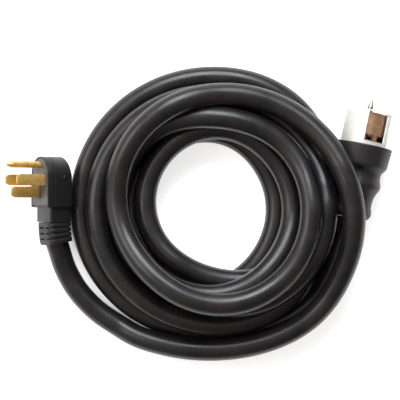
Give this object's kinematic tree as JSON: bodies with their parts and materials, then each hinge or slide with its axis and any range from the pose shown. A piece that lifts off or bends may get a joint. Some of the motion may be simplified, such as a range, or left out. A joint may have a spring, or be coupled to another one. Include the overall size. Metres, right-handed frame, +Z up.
{
  "type": "shore power cord",
  "caption": "Thick black shore power cord in a flat coil, with a right-angle straight-blade plug at one end and a twist-locking metal nose in a moulded handle at the other.",
  "frame": {"origin": "on the floor, under the middle of the whole object's footprint", "axes": "+Z up, the coil lies flat on the floor; +X from the straight-blade plug towards the locking end; +Y the way the locking nose mostly points"},
  "size_m": [0.4048, 0.307, 0.09],
  "materials": {
    "black_pvc": "satin moulded black PVC",
    "soft_pvc": "soft black PVC",
    "cord_jacket": "smooth satin black cord jacket",
    "grey_insert": "moulded insert",
    "nylon": "insulator",
    "brass": "bright drawn brass",
    "bronze": "polished bronze",
    "nickel_plate": "bright nickel plate",
    "tinned_copper": "crimp barrels",
    "insulation_black": "wire insulation",
    "insulation_red": "wire insulation",
    "insulation_white": "wire insulation",
    "insulation_green": "wire insulation"
  },
  "bodies": {
    "root": {"cord_coil": "cord_jacket", "cord_tail": "cord_jacket", "plug_body": "black_pvc", "plug_face": "grey_insert", "blade_carrier": "nylon", "hot_blade_upper": "brass", "hot_blade_lower": "brass", "neutral_blade": "brass", "ground_pin": "brass", "hot_crimp_upper": "tinned_copper", "hot_crimp_lower": "tinned_copper", "neutral_crimp": "tinned_copper", "ground_crimp": "tinned_copper", "plug_strain_relief": "soft_pvc", "plug_wire_black": "insulation_black", "plug_wire_red": "insulation_red", "plug_wire_white": "insulation_white", "plug_wire_green": "insulation_green", "lock_housing": "black_pvc", "lock_face": "grey_insert", "lock_core": "nylon", "ground_shell": "nickel_plate", "lock_blade_x": "bronze", "lock_blade_y": "bronze", "lock_blade_w": "bronze", "centre_pin": "nickel_plate", "blade_crimp_x": "tinned_copper", "blade_crimp_y": "tinned_copper", "blade_crimp_w": "tinned_copper", "shell_crimp": "tinned_copper", "lock_screw_upper": "nickel_plate", "lock_screw_lower": "nickel_plate", "lock_gland": "soft_pvc", "lock_wire_black": "insulation_black", "lock_wire_red": "insulation_red", "lock_wire_white": "insulation_white", "lock_wire_green": "insulation_green"}
  },
  "joints": []
}
